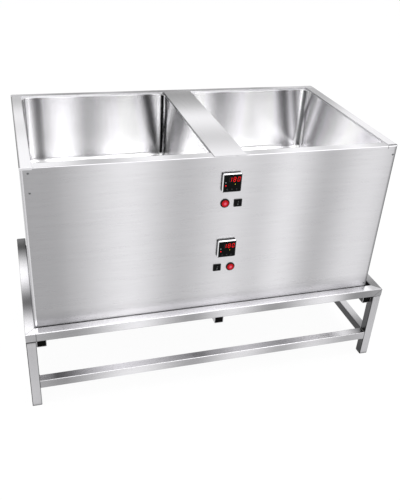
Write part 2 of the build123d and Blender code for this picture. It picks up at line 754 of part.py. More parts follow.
terminal_x, terminal_y = rim_right - terminal_place[0], casing_back - terminal_place[1]
terminal_top = base_top + terminal_size[2]
terminal_pitch = terminal_size[0] / terminal_poles
with BuildPart() as terminal_block:
    block((terminal_x - terminal_size[0] / 2, terminal_y - terminal_size[1] / 2, base_top),
          (terminal_x + terminal_size[0] / 2, terminal_y + terminal_size[1] / 2, terminal_top))
    with BuildSketch(Plane.XY.offset(terminal_top)):
        with Locations((terminal_x, terminal_y)):
            with GridLocations(terminal_pitch, terminal_size[1], terminal_poles, 2):
                Rectangle(terminal_slot[0], terminal_slot[1])
    extrude(amount=-terminal_slot[1], mode=Mode.SUBTRACT)
save("terminal_block", terminal_block)

# Cable entry
gland_plane = Plane(origin=(gland_x, casing_back, gland_z), x_dir=(1, 0, 0), z_dir=(0, 1, 0))
with BuildPart() as cable_gland:
    with BuildSketch(gland_plane):
        RegularPolygon(gland_flats / 2, 6, major_radius=False)
    extrude(amount=gland_flange_height)
    with BuildSketch(gland_plane):
        Circle(gland_dome_diameter / 2)
    extrude(amount=gland_reach)
    fillet(cable_gland.faces().sort_by(Axis.Y)[-1].edges(), radius=gland_dome_round)
    with BuildSketch(gland_plane):
        Circle(gland_thread_diameter / 2)
    extrude(amount=-gland_inside_length)
    with BuildSketch(gland_plane.offset(-gland_inside_length)):
        Circle(gland_bore_diameter / 2)
    extrude(amount=gland_inside_length + gland_reach, mode=Mode.SUBTRACT)
save("cable_gland", cable_gland)

with BuildPart() as gland_nut:
    with BuildSketch(gland_plane.offset(-sheet)):
        RegularPolygon(gland_nut_flats / 2, 6, major_radius=False)
        Circle(gland_thread_diameter / 2 + gland_hole_clearance, mode=Mode.SUBTRACT)
    extrude(amount=-gland_nut_thickness)
save("gland_nut", gland_nut)
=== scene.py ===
# %% [markdown]
# # A two-well wax dipping tank on its stand
# The real object is a box of brushed stainless sheet with two polished wells, two panel
# controllers, two red push buttons and two rocker switches, on a stand of welded square tube.
# The CAD model gives every size, so this lesson only dresses it: a studio, one material for
# each real finish, and the small trim that is too fine for the CAD.

import math

import bmesh
import bpy
from mathutils import Matrix, Vector
from mathutils.bvhtree import BVHTree


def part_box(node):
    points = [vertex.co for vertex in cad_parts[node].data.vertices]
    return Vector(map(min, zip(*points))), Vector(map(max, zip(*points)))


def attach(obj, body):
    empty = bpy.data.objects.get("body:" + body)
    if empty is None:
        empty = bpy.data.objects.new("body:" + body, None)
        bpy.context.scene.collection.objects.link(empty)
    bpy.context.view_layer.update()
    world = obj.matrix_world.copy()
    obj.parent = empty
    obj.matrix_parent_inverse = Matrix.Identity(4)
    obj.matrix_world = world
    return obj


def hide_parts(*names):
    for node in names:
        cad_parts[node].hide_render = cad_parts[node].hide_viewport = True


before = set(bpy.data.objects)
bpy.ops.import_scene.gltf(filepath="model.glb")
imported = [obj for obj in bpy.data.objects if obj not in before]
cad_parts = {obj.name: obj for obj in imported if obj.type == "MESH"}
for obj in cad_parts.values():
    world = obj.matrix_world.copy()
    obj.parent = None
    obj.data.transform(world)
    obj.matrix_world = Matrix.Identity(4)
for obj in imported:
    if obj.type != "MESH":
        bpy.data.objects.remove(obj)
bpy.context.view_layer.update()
MM = 0.001                       # the scene is in metres, the notes are in millimetres

# %% [markdown]
# The camera stands where the photographer stood: a little left of the tank, above it and
# looking down. Its place and its lens came from matching the tank's own corners to the
# picture, and the three directions are written out so that nothing is tilted by eye.

# %% Camera
def put(name, data):
    """A new object in the scene that shows this data."""
    thing = bpy.data.objects.new(name, data)
    bpy.context.collection.objects.link(thing)
    return thing


right = Vector((0.95801, -0.28124, 0.05585))
up = Vector((0.09817, 0.50473, 0.85768))
ahead = Vector((0.26941, 0.81618, -0.51115))
camera_place = Vector((-0.476525, -1.539895, 1.216902))

camera_lens = bpy.data.cameras.new("photo_lens")
camera_lens.lens = 44.91
camera_lens.sensor_width = 36.0
camera = put("photo_camera", camera_lens)
camera.matrix_world = Matrix([
    (right[row], up[row], -ahead[row], camera_place[row]) for row in range(3)] + [(0, 0, 0, 1)])
bpy.context.scene.camera = camera
bpy.context.scene.view_settings.view_transform = "Standard"
print("camera", [round(c, 3) for c in camera_place], "lens", camera_lens.lens, "mm")

# %% [markdown]
# A few helpers serve every material. Colours are picked on a screen, so they are sRGB hex
# values, and Blender wants linear light. A node is always the same few lines, so one small
# function adds it with its settings and its links. And a finish is often one colour laid
# over another where some share says so.

# %% Colour and node helpers
def linear(hex_colour):
    """A hex colour such as "#c8c9cb" as linear RGBA."""
    channels = [int(hex_colour[i:i + 2], 16) / 255 for i in (1, 3, 5)]
    return [c / 12.92 if c <= 0.04045 else ((c + 0.055) / 1.055) ** 2.4 for c in channels] + [1.0]


def blank_tree(owner):
    """The node tree of a material or the world, emptied."""
    owner.use_nodes = True
    owner.node_tree.nodes.clear()
    return owner.node_tree


def wire(tree, node, inputs):
    """Sets a node's sockets, by name or number. A value can also be another node's output, or
    another node, which stands for its first output in use."""
    for socket, value in inputs.items():
        if isinstance(value, bpy.types.Node):
            value = next(output for output in value.outputs if output.enabled)
        if isinstance(value, bpy.types.NodeSocket):
            tree.links.new(value, node.inputs[socket])
        else:
            node.inputs[socket].default_value = value


def add(tree, kind, inputs=None, **settings):
    """Adds one node with its settings, its values and its links. A shader node's kind goes without
    its first word."""
    node = tree.nodes.new(kind if "Node" in kind else "ShaderNode" + kind)
    for name, value in settings.items():
        setattr(node, name, value)
    wire(tree, node, inputs or {})
    return node


def layered(tree, colour, layers):
    """Colours laid over each other; each layer is a share from 0 to 1 and the colour it brings."""
    for share, above in layers:
        colour = add(tree, "Mix", {"Factor": share, "A": colour, "B": above}, data_type="RGBA")
    return colour


print("helpers ready; mid grey is", [round(c, 3) for c in linear("#808080")[:3]])

# %% [markdown]
# The studio is a white room. A white floor that is simply lit until it is white would throw
# too much light up at the tank, so the floor and the world show their white only to the
# camera and to mirror and glass rays, and light the tank at a plain level. The floor keeps
# part of its own shading, so the tank's soft shadow stays on it.

# %% Studio world and floor
SKY_LIGHT, SKY_SEEN = 0.8, 1.01                    # the world's strength as a lamp and as a picture
PAPER_SEEN, PAPER_SHARE = 1.03, 0.9                # the rest of the paper's look is its shading
FLOOR_HALF = 6.0


def seen_directly(tree):
    """1 for a camera, mirror or glass ray and 0 for a ray that carries diffuse light."""
    path = add(tree, "LightPath").outputs
    seen = path["Is Camera Ray"]
    for other in ("Is Glossy Ray", "Is Transmission Ray"):
        seen = add(tree, "Math", {0: seen, 1: path[other]}, operation="MAXIMUM")
    return seen


world = bpy.data.worlds.new("white_studio")
bpy.context.scene.world = world
sky = blank_tree(world)
sky_level = add(sky, "MapRange", {"Value": seen_directly(sky), "To Min": SKY_LIGHT, "To Max": SKY_SEEN})
sky_white = add(sky, "Background", {"Color": linear("#ffffff"), "Strength": sky_level})
add(sky, "OutputWorld", {"Surface": sky_white})

floor_paint = bpy.data.materials.new("white_studio_paper")
paper = blank_tree(floor_paint)
paper_share = add(paper, "Math", {0: seen_directly(paper), 1: PAPER_SHARE}, operation="MULTIPLY")
paper_diffuse = add(paper, "BsdfDiffuse", {"Color": linear("#f8f8f8")})
paper_white = add(paper, "Emission", {"Color": linear("#ffffff"), "Strength": PAPER_SEEN})
paper_mix = add(paper, "MixShader", {0: paper_share, 1: paper_diffuse, 2: paper_white})
add(paper, "OutputMaterial", {"Surface": paper_mix})

floor_mesh = bpy.data.meshes.new("studio_floor")
floor_mesh.from_pydata([(FLOOR_HALF * x, FLOOR_HALF * y, 0) for x, y in ((-1, -1), (1, -1), (1, 1), (-1, 1))],
                       [], [(0, 1, 2, 3)])
floor_mesh.materials.append(floor_paint)
floor = put("studio_floor", floor_mesh)
print("floor", 2 * FLOOR_HALF, "m square")

# %% [markdown]
# Two soft boxes do the lighting: a wide one overhead, which makes the soft shadow under the
# stand, and a weaker one in front on the left, which lights the black controls. Mirror rays
# don't see them, because from above they would burn out the polished steel. Two large cards,
# one in front and a weak one behind, do the opposite: only mirror rays see them, and they
# brighten the walls of the wells.

# %% Soft boxes
def soft_box(name, place, towards, width, height, watts):
    """A rectangular lamp that faces a point."""
    lamp = bpy.data.lights.new(name, "AREA")
    lamp.shape, lamp.size, lamp.size_y, lamp.energy = "RECTANGLE", width, height, watts
    holder = put(name, lamp)
    holder.location = place
    holder.rotation_mode = "QUATERNION"
    holder.rotation_quaternion = (Vector(towards) - Vector(place)).to_track_quat("-Z", "Y")
    return holder


for lamp in (soft_box("overhead_soft_box", (0.0, 0.2, 2.9), (0, 0, 0.5), 2.8, 2.4, 34),
             soft_box("front_soft_box", (-1.9, -2.3, 1.9), (0, 0, 0.4), 1.4, 1.8, 14)):
    lamp.visible_glossy = False
for card in (soft_box("front_reflector_card", (0.9, -2.4, 3.2), (0, 0, 0.5), 5.0, 3.0, 90),
             soft_box("back_reflector_card", (1.2, 3.6, 2.9), (0, 0, 0.6), 7.0, 4.0, 44)):
    card.visible_diffuse = False
print("two soft boxes and two cards")

# %% [markdown]
# Brushed stainless is sheet that was drawn under an abrasive belt. The eye gets three things
# from it: fine scratches along one direction, a highlight stretched across them, and broad
# soft bands, because thin sheet and polished tube are never quite flat and each stretch of
# them mirrors another part of the room. Here those bands are painted reflections in the colour,
# and a face is painted lighter or darker by the way it looks, as painted light and shade. The
# real scratches are about 0.1 mm wide, which is too fine for this picture, so they are drawn
# 1 to 1.6 mm wide with broader ones among them.

# %% Steel helpers
AXES = {"X": 0, "Y": 1, "Z": 2}
WAYS = {"front": (0, -1, 0), "back": (0, 1, 0), "left": (-1, 0, 0), "right": (1, 0, 0), "top": (0, 0, 1),
        "under": (0, 0, -1), "top front edge": (0, -0.707, 0.707), "lower front edge": (0, -0.707, -0.707),
        "front left edge": (-0.707, -0.707, 0), "front right edge": (0.707, -0.707, 0),
        "top left edge": (-0.707, 0, 0.707)}
FACE_SPAN, EDGE_SPAN = (0.55, 0.85), (0.80, 0.94)  # how far round a face and a narrow edge reach
STEEL_CAST = linear("#fdfcff")                     # stainless steel is a little cool


def new_material(name, **shader_inputs):
    """A material with a Principled shader; gives it, its tree, the shader and the coordinates."""
    material = bpy.data.materials.new(name)
    tree = blank_tree(material)
    shader = add(tree, "BsdfPrincipled",
                 {key.replace("_", " "): value for key, value in shader_inputs.items()})
    add(tree, "OutputMaterial", {"Surface": shader})
    return material, tree, shader, add(tree, "TexCoord").outputs


def span(low, high):
    """The From limits of a Map Range node, from millimetres."""
    return {"From Min": low * MM, "From Max": high * MM}


def streaks(tree, at, along, length, width):
    """Noise stretched along one axis: streaks of about this length and width, in millimetres."""
    scale = [1 / (width * MM)] * 3
    scale[AXES[along]] = 1 / (length * MM)
    stretched = add(tree, "Mapping", {"Vector": at["Object"], "Scale": scale})
    return add(tree, "TexNoise", {"Vector": stretched, "Scale": 1.0, "Detail": 2.0, "Roughness": 0.6})


def painted_light_bands(tree, place, tones):
    """A soft ramp of greys that are painted reflections and shade. place is a distance in metres,
    and tones maps millimetres to greys from 0 to 255."""
    stops = sorted(tones)
    share = add(tree, "MapRange", {"Value": place, **span(stops[0], stops[-1])})
    ramp = add(tree, "ValToRGB", {0: share})
    ramp.color_ramp.interpolation = "CARDINAL"
    elements = ramp.color_ramp.elements
    for number, at in enumerate(stops):
        position = (at - stops[0]) / (stops[-1] - stops[0])
        stop = elements[number] if number < 2 else elements.new(position)
        stop.position = position
        stop.color = [grey * cast for grey, cast in zip(linear("#" + f"{tones[at]:02x}" * 3), STEEL_CAST)]
    return ramp


def facing(tree, at, way):
    """1 where the surface looks this way, 0 elsewhere, with a soft change between."""
    low, high = EDGE_SPAN if "edge" in way else FACE_SPAN
    along = add(tree, "VectorMath", {0: at["Normal"], 1: WAYS[way]}, operation="DOT_PRODUCT")
    return add(tree, "MapRange", {"Value": along, "From Min": low, "From Max": high},
               interpolation_type="SMOOTHSTEP")


print("steel helpers ready for", len(WAYS), "ways a face can look")

# %% Brushed stainless
NOISE_SPAN = {"From Min": 0.7, "From Max": 1.3}    # where most of the sum of two noises lies
SEAM_CORE, SEAM_REACH, SEAM_DARK = 0.7, 1.7, 0.45  # how far it reaches in mm, and the tone it takes


def brushed_steel(name, along, looks, roughness=0.3, depth=0.04, width=1.6, length=60, painted_foot_shade=None,
                  seams=()):
    """Stainless brushed along one axis, with painted reflections and shade in its colour. looks lists
    (way, axis, tones) of painted reflection on the faces that look that way; the first one also
    serves the ways that aren't listed. The painted foot shade is (from height, to height, share of
    its tone left there) and darkens the colour towards the foot. A seam (way, axis, times, other
    axis, at) is a thin dark line where axis + times * other axis = at: a ground weld's line at a
    joint, or a painted shade line along an edge."""
    material, tree, shader, at = new_material(name, Metallic=1.0)
    place = add(tree, "SeparateXYZ", {0: at["Object"]}).outputs
    bands = [(way, painted_light_bands(tree, place[axis], tones)) for way, axis, tones in looks]
    tone = layered(tree, bands[0][1], [(facing(tree, at, way), band) for way, band in bands[1:]])

    fine = streaks(tree, at, along, length, width)
    broad = streaks(tree, at, along, 3 * length, 5 * width)
    both = add(tree, "Math", {0: fine, 1: broad})
    shades = [add(tree, "MapRange", {"Value": both, "To Min": 1 - depth, "To Max": 1 + depth,
                                     **NOISE_SPAN})]
    # the colour is painted darker towards the foot, as shade
    if painted_foot_shade:
        start, end, share_left = painted_foot_shade
        shades.append(add(tree, "MapRange", {"Value": place["Z"], "To Min": share_left, **span(end, start)},
                          interpolation_type="SMOOTHSTEP"))
    for way, axis, times, other, where in seams:
        total = add(tree, "Math", {0: place[other], 1: times, 2: place[axis]}, operation="MULTIPLY_ADD")
        off = add(tree, "Math", {0: total, 1: -where * MM})
        away = add(tree, "Math", {0: off}, operation="ABSOLUTE")
        line = add(tree, "MapRange", {"Value": away, "To Min": -SEAM_DARK, "To Max": 0.0,
                                      **span(SEAM_CORE, SEAM_REACH)})
        shades.append(add(tree, "Math", {0: line, 1: facing(tree, at, way), 2: 1.0},
                          operation="MULTIPLY_ADD"))
    for shade in shades:
        tone = add(tree, "VectorMath", {0: tone, 1: shade}, operation="MULTIPLY")
    capped = add(tree, "VectorMath", {0: tone, 1: (1.0, 1.0, 1.0)}, operation="MINIMUM")

    rough = add(tree, "MapRange", {"Value": both, "To Min": roughness - 0.04,
                                   "To Max": roughness + 0.06, **NOISE_SPAN})
    ridge = add(tree, "Bump", {"Strength": 0.025, "Distance": 0.1 * MM, "Height": fine})
    turn = add(tree, "Tangent", direction_type="RADIAL", axis=along)
    wire(tree, shader, {"Base Color": capped, "Roughness": rough, "Normal": ridge, "Tangent": turn,
                        "Anisotropic": 0.6})
    return material


print("one function for every brushed part")

# %% [markdown]
# The sheet. The front panel and the front rim are one folded piece, brushed along X, and the
# fold between them carries a painted highlight as a bright line. Near its foot the panel mirrors
# the bright top of the rail, and its colour is painted darker there as shade. Each list of tones
# follows one surface from end to end, with a few light and dark bands of painted reflection.

# %% Sheet materials
# painted reflections on each face, a painted highlight on the fold and painted shade at the foot
sheet_front = brushed_steel("brushed_front_sheet", "X", [
    ("front", "X", {-464: 164, -380: 178, -240: 227, -110: 189, 10: 215, 95: 206, 175: 224, 270: 186,
                    375: 217, 448: 200, 455: 104}),
    ("top", "X", {-460: 210, -380: 202, -305: 162, -180: 210, -105: 174, 10: 199, 95: 172, 180: 210,
                  265: 184, 340: 210, 425: 172, 455: 191}),
    ("top front edge", "X", {-464: 197, 0: 201, 455: 202})],
    depth=0.03, length=40, width=1.4, painted_foot_shade=(285, 234, 0.52))
# painted reflections; the dark tones at the panels' front edges are painted shade
sheet_side = brushed_steel("brushed_side_sheet", "Y", [
    ("left", "Y", {-258: 74, -250: 196, -150: 220, -40: 188, 70: 224, 180: 198, 265: 180}),
    ("front", "X", {-470: 184, -464: 220, 454: 70, 457: 56})])
# painted reflections on the back panel's faces
sheet_back = brushed_steel("brushed_back_sheet", "X", [
    ("back", "X", {-455: 180, -300: 216, -120: 189, 60: 220, 240: 191, 455: 211}),
    ("under", "X", {-472: 244, 458: 244}),
    ("top", "X", {-472: 161, -300: 109, -200: 144, -60: 101, 60: 131, 130: 117, 210: 132, 275: 119,
                  370: 171, 458: 154}),
    ("front", "X", {-445: 244, 434: 244})], depth=0.03, width=1.2)
print("sheet materials made")

# %% [markdown]
# The caps over the side panels and the cover over the divider are brushed along Y. Their
# colour is painted darker towards the back, a painted reflection of the far end of the room.

# %% Rim materials
# painted reflections; its left face and rounded left edge are painted dark as shade
rim_left_steel = brushed_steel("brushed_left_rim", "Y", [
    ("right", "Y", {-258: 216, 266: 176}),
    ("top", "Y", {-258: 207, -100: 201, -20: 187, 100: 189, 200: 146, 266: 154}),
    ("left", "Y", {-258: 64, 266: 64}),
    ("top left edge", "Y", {-258: 51, 266: 64})], depth=0.02, width=1.0,
    # painted shade in three dark lines along the rim's outer edge
    seams=[("top", "X", 0, "Y", at) for at in (-471.5, -470.5, -469.5)])
# painted reflections; its dark front end is painted shade
rim_right_steel = brushed_steel("brushed_right_rim", "Y", [
    ("left", "Y", {-258: 208, -60: 216, 20: 188, 266: 192}),
    ("top", "Y", {-258: 199, -60: 199, 20: 182, 100: 149, 220: 127, 266: 147}),
    ("right", "Y", {-258: 248, 266: 238}),
    ("front", "Y", {-258: 40, -240: 40})], depth=0.02, width=1.0)
# painted reflections on the divider cover
divider_steel = brushed_steel("brushed_divider_cover", "Y", [
    ("left", "Y", {-257: 112, 20: 160, 266: 128}),
    ("top", "Y", {-257: 202, -140: 169, 10: 196, 100: 151, 200: 99, 266: 112}),
    ("front", "Y", {-258: 232, -240: 232})], depth=0.02, width=1.0)
print("rim materials made")

# %% [markdown]
# The stand is square tube, polished along its length. Its narrow faces carry painted reflections
# of the room in stronger bands than the sheet does, and its rounded corners carry thin painted
# highlights and painted shade lines.

# %% Tube materials
MITRES = [("top", "X", -1, "Y", -213.5), ("top", "X", 1, "Y", 213.5)]     # the front corners of the top frame
# painted reflections on each face; the rounded edges carry painted highlights and painted shade
front_rail_steel = brushed_steel("brushed_front_rail", "X", [
    ("front", "X", {-496: 172, -360: 163, -220: 234, -80: 158, 35: 224, 160: 156, 320: 231, 400: 154,
                    496: 154}),
    ("top", "X", {-496: 250, -440: 250, -398: 230, -340: 255, 20: 250, 90: 236, 190: 232, 300: 255,
                  385: 204, 440: 238, 452: 224, 464: 184, 474: 172, 496: 176}),
    ("top front edge", "X", {-496: 208, 0: 200, 300: 196, 496: 168}),
    ("lower front edge", "X", {-496: 144, 0: 152, 466: 140, 474: 180, 496: 180})], roughness=0.26,
    seams=MITRES + [("front", "X", 0, "Z", -470.5), ("front", "X", -1, "Z", 260.25)])
front_stretcher_steel = brushed_steel("brushed_front_stretcher", "X", [
    ("front", "X", {-471: 164, -390: 159, -230: 232, -60: 166, 75: 223, 200: 175, 300: 214, 400: 180,
                    471: 180}),
    ("top", "X", {-471: 208, -420: 104, -290: 238, -220: 240, -90: 172, 20: 181, 85: 220, 215: 172,
                  325: 255, 405: 208, 471: 80}),
    ("top front edge", "X", {-471: 168, -300: 204, -100: 196, 100: 208, 300: 204, 471: 168}),
    ("lower front edge", "X", {-471: 240, 0: 240, 471: 200})], roughness=0.26)
back_tube_steel = brushed_steel("brushed_back_tubes", "X", [
    ("front", "X", {-496: 176, -420: 180, -150: 234, 30: 191, 120: 214, 200: 196, 360: 218,
                    496: 208})], roughness=0.26)
left_tube_steel = brushed_steel("brushed_left_tubes", "Y", [
    ("left", "Y", {-283: 192, -230: 160, -140: 198, -50: 170, 10: 195, 130: 124, 198: 105}),
    ("top", "Y", {-283: 228, -255: 236, -145: 96, -5: 232, 125: 96, 198: 94})], roughness=0.26,
    seams=MITRES[:1])
# painted reflections; the left faces, turned from the light, are painted dark as shade
right_tube_steel = brushed_steel("brushed_right_tubes", "Y", [
    ("right", "Y", {-283: 184, -150: 202, -20: 170, 120: 196, 198: 176}),
    ("left", "Y", {-283: 60, -110: 72, 198: 96}),
    ("top", "Y", {-283: 122, -240: 119, -180: 166, -80: 176, 30: 156, 198: 159})], roughness=0.26,
    seams=MITRES[1:])
# the legs' left faces and front edges are painted darker as shade
SHADED_LEG_SIDES = [("left", "Z", {0: 48, 40: 68, 211: 92}),
             ("front left edge", "Z", {0: 64, 211: 72}),
             ("front right edge", "Z", {0: 112, 211: 104})]
left_leg_steel, right_leg_steel = [
    brushed_steel(f"brushed_front_{side}_leg", "Z", [
        ("front", "Z", {0: 80, 4: 176, 12: 194, 190: 188, **top})] + SHADED_LEG_SIDES)
    for side, top in (("left", {207: 184, 211: 88}), ("right", {211: 184}))]
back_leg_steel = brushed_steel("brushed_back_legs", "Z", [
    ("back", "Z", {0: 168, 100: 188, 211: 176}),
    ("front", "Z", {0: 110, 40: 118, 120: 255, 180: 160, 211: 144})], roughness=0.28)
print("tube materials made")

# %% [markdown]
# The wells are pressed and polished bright, nearly a mirror. What the eye sees in them is the
# white room, folded again and again between the walls, as soft upright bands that lean into
# the corners and fade towards the floor. A real well gets its bands from slow dents in thin
# sheet. Here the two walls that face the viewer carry them as painted reflections in their colour
# and the other two are plain, because a band that is mirrored twice turns black. The thin line in
# each corner is a painted reflection too, and the flange that shows in the rounded corners is
# painted dark as shade.

# %% Polished wells
DIVIDER_X, CORNERS_X = 8, (-33, 434)               # between the wells, and each one's right wall
LEAN_Z, LEAN_SPAN, LEAN_X, LEAN_Y = (650, 480), (-170, -60), 34, 75
FLOOR_FORE, FLOOR_REAR, FLANGE_Z = (-40, -150), (150, 215), 655
FLOOR_DULL, FLOOR_BRIGHT, WHITE = linear("#dedede"), linear("#f8f8f8"), linear("#ffffff")
# the thin lines in the wells' corners are painted reflections
LEFT_CORNER_REFLECTION, RIGHT_CORNER_REFLECTION = linear("#0c0c0d"), linear("#6c6d6e")


def polished_steel(name, long_tones, side_tones, flange_shade_tones):
    """Near-mirror steel for both wells, with painted reflections in its colour. long_tones are the
    painted reflections along the back walls, the two side_tones those along the left and the
    right well's right wall, and the flange's tones are painted shade on the flange that shows in
    the wells' rounded corners."""
    material, tree, shader, at = new_material(name, Metallic=1.0)
    x, y, z = add(tree, "SeparateXYZ", {0: at["Object"]}).outputs
    in_right = add(tree, "Math", {0: x, 1: DIVIDER_X * MM}, operation="GREATER_THAN")

    # the bands lean towards the right corner, more the deeper they are
    deep = add(tree, "MapRange", {"Value": z, **span(*LEAN_Z)})
    corner = add(tree, "MapRange", {"Value": in_right, "To Min": CORNERS_X[0] * MM,
                                    "To Max": CORNERS_X[1] * MM})
    short_of = add(tree, "Math", {0: x, 1: corner}, operation="SUBTRACT")
    near = add(tree, "MapRange", {"Value": short_of, "To Max": LEAN_X * MM, **span(*LEAN_SPAN)},
               interpolation_type="SMOOTHSTEP")
    leaning = []
    for place, reach in ((x, near), (y, LEAN_Y * MM)):
        lean = add(tree, "Math", {0: deep, 1: reach}, operation="MULTIPLY")
        leaning.append(add(tree, "Math", {0: place, 1: lean}, operation="SUBTRACT"))
    long_walls = painted_light_bands(tree, leaning[0], long_tones)
    left_side, right_side = [painted_light_bands(tree, leaning[1], tones) for tones in side_tones]
    side_walls = layered(tree, left_side, [(in_right, right_side)])

    # the floor is mottled and white in front, and at the back it carries the back wall's bands as a painted
    # reflection
    glow = add(tree, "TexNoise", {"Vector": at["Object"], "Scale": 5.0, "Detail": 1.0})
    mottle = add(tree, "MapRange", {"Value": glow, "From Min": 0.35, "From Max": 0.65})
    fore = add(tree, "MapRange", {"Value": y, **span(*FLOOR_FORE)})
    rear = add(tree, "MapRange", {"Value": y, "To Max": 0.8, **span(*FLOOR_REAR)})
    floor_tone = layered(tree, FLOOR_DULL, [(mottle, FLOOR_BRIGHT), (fore, WHITE), (rear, long_walls)])

    # each layer covers the ones before it, and the thin line in each corner, a painted reflection, is the
    # last but one
    upward = facing(tree, at, "top")
    fade = add(tree, "MapRange", {"Value": deep, "To Min": 1.0, "To Max": 0.95})
    layers = [(upward, floor_tone)]
    for way, walls in (("front", long_walls), ("left", side_walls)):
        share = add(tree, "Math", {0: facing(tree, at, way), 1: fade}, operation="MULTIPLY")
        layers.append((share, walls))
    bend = add(tree, "VectorMath", {0: at["Normal"], 1: WAYS["front left edge"]}, operation="DOT_PRODUCT")
    line = add(tree, "MapRange", {"Value": bend, "From Min": 0.94, "From Max": 0.99})
    layers.append((line, layered(tree, LEFT_CORNER_REFLECTION, [(in_right, RIGHT_CORNER_REFLECTION)])))
    # the flange's tones are painted shade where it shows in the rounded corners
    high = add(tree, "Math", {0: z, 1: FLANGE_Z * MM}, operation="GREATER_THAN")
    flange = add(tree, "Math", {0: upward, 1: high}, operation="MULTIPLY")
    layers.append((flange, painted_light_bands(tree, x, flange_shade_tones)))

    haze = add(tree, "TexNoise", {"Vector": at["Object"], "Scale": 40.0, "Detail": 3.0})
    rough = add(tree, "MapRange", {"Value": haze, "To Min": 0.17, "To Max": 0.23})
    dents = add(tree, "Bump", {"Strength": 0.12, "Distance": 2.0 * MM,
                               "Height": streaks(tree, at, "Z", length=900, width=80)})
    turn = add(tree, "Tangent", direction_type="RADIAL", axis="Z")
    wire(tree, shader, {"Base Color": layered(tree, WHITE, layers), "Roughness": rough, "Normal": dents,
                        "Tangent": turn, "Anisotropic": 0.75,
                        "Anisotropic Rotation": 0.25})       # the smear runs up the walls
    return material


# painted reflection bands for the walls and painted shade for the flange
well_steel = polished_steel(
    "polished_well_steel",
    {-445: 104, -436: 192, -428: 255, -416: 184, -401: 112, -386: 188, -330: 255, -262: 168,
     -175: 255, -112: 244, -84: 88, -60: 240, -36: 240, 55: 255, 98: 255, 145: 184, 225: 255,
     325: 255, 356: 144, 376: 240, 394: 160, 412: 255, 433: 255},
    ({-231: 255, -60: 255, 20: 140, 65: 184, 105: 255, 160: 255, 188: 100, 212: 255, 245: 240},
     {-231: 248, -130: 255, -40: 255, 50: 200, 120: 232, 180: 255, 202: 144, 214: 255, 245: 255}),
    {-445: 161, -400: 117, -70: 78, -33: 31, 49: 164, 100: 171, 400: 157, 434: 171})
print("well material made")

# %% [markdown]
# Small steel parts are plain round bar and pressed sheet: a dull satin with fine scratches
# and slightly darker patches where fingers and heat have been.

# %% Small steel parts
TARNISH, MOTTLE = 0.55, 1.25                       # a metal's darkest patch, a plastic's lightest


def grained(tree, shader, at, size_mm, detail, rough_ends, strength, depth_mm):
    """A fine grain in a part's skin that varies its gloss and its relief."""
    grain = add(tree, "TexNoise", {"Vector": at["Object"], "Scale": 1 / (size_mm * MM), "Detail": detail})
    rough = add(tree, "MapRange", {"Value": grain, "To Min": rough_ends[0], "To Max": rough_ends[1]})
    relief = add(tree, "Bump", {"Strength": strength, "Distance": depth_mm * MM, "Height": grain})
    wire(tree, shader, {"Roughness": rough, "Normal": relief})


def satin_metal(name, colour, roughness, patch_mm=4.0):
    """Satin metal with a slow tarnish and fine crossing scratches, about 0.5 mm apart."""
    material, tree, shader, at = new_material(name, Metallic=1.0)
    patches = add(tree, "TexNoise", {"Vector": at["Object"], "Scale": 1 / (patch_mm * MM), "Detail": 4.0})
    dark = [TARNISH * c for c in linear(colour)[:3]] + [1.0]
    wire(tree, shader, {"Base Color": layered(tree, dark, [(patches, linear(colour))])})
    grained(tree, shader, at, size_mm=0.5, detail=2.0, rough_ends=(roughness - 0.08, roughness + 0.1),
            strength=0.2, depth_mm=0.03)
    return material


rivet_steel = satin_metal("satin_rivet_steel", "#8a8b8d", 0.38, 2.0)
# near black as painted shade in the rivet's hole
mandrel_painted_shade = satin_metal("dark_rivet_mandrel", "#2c2c2d", 0.5, 1.0)
probe_steel = satin_metal("drawn_probe_steel", "#c6c7c9", 0.25)
nut_metal = satin_metal("plated_button_nuts", "#b9babc", 0.3)
weld_steel = satin_metal("weld_bead_steel", "#a8a6a1", 0.34, 6.0)
print("small steel parts' materials made")

# %% [markdown]
# The controls are moulded plastic. Black ABS is a very dark grey with a fine spark-eroded
# texture that breaks its highlight. The controller's window is a smooth acrylic, near black,
# and the button's cap is red acrylic, pink in the middle of its front, with a faint glow.

# %% Plastics and other finishes
def moulded(name, colour, roughness, grain_mm=0.6, grain_depth=0.03, glow=0.0, gloss=0.5):
    """A moulded plastic: one colour with a slight mottle, and a fine texture in its skin."""
    material, tree, shader, at = new_material(name, IOR=1.5, Specular_IOR_Level=gloss)
    mottle = add(tree, "TexNoise", {"Vector": at["Object"], "Scale": 1 / (9 * MM), "Detail": 2.0})
    light = [min(1.0, c * MOTTLE + 0.002) for c in linear(colour)[:3]] + [1.0]
    skin = layered(tree, linear(colour), [(mottle, light)])
    wire(tree, shader, {"Base Color": skin})
    grained(tree, shader, at, size_mm=grain_mm, detail=3.0, rough_ends=(roughness - 0.06, roughness + 0.08),
            strength=0.3, depth_mm=grain_depth)
    if glow:
        wire(tree, shader, {"Emission Color": skin, "Emission Strength": glow})
    return material


black_abs = moulded("black_moulded_abs", "#0c0d0e", 0.4, gloss=0.14)
black_cap = moulded("black_tube_plug_plastic", "#020202", 0.6, grain_mm=1.5, gloss=0.05)
window_acrylic = moulded("smoked_acrylic_window", "#040605", 0.14, grain_depth=0.004, gloss=0.06)
key_rubber = moulded("dark_silicone_keys", "#080909", 0.5, gloss=0.08)
rocker_nylon = moulded("black_rocker_nylon", "#050606", 0.45, gloss=0.05)
relay_resin = moulded("pale_relay_resin", "#d9d6cd", 0.45)
terminal_resin = moulded("black_phenolic_terminal", "#1b1a19", 0.5)
gland_nylon = moulded("black_gland_nylon", "#151617", 0.48)
heater_rubber = moulded("orange_silicone_heater", "#b5532a", 0.7, grain_mm=1.2)
insulation = moulded("mineral_fibre_board", "#cbbf9c", 0.9, grain_mm=2.0, grain_depth=0.4)
print("plastics made")

# %% [markdown]
# The CAD nodes are right as they are, so each only gets its finish, through its material
# slots. Their objects stay where they are and their meshes aren't touched.

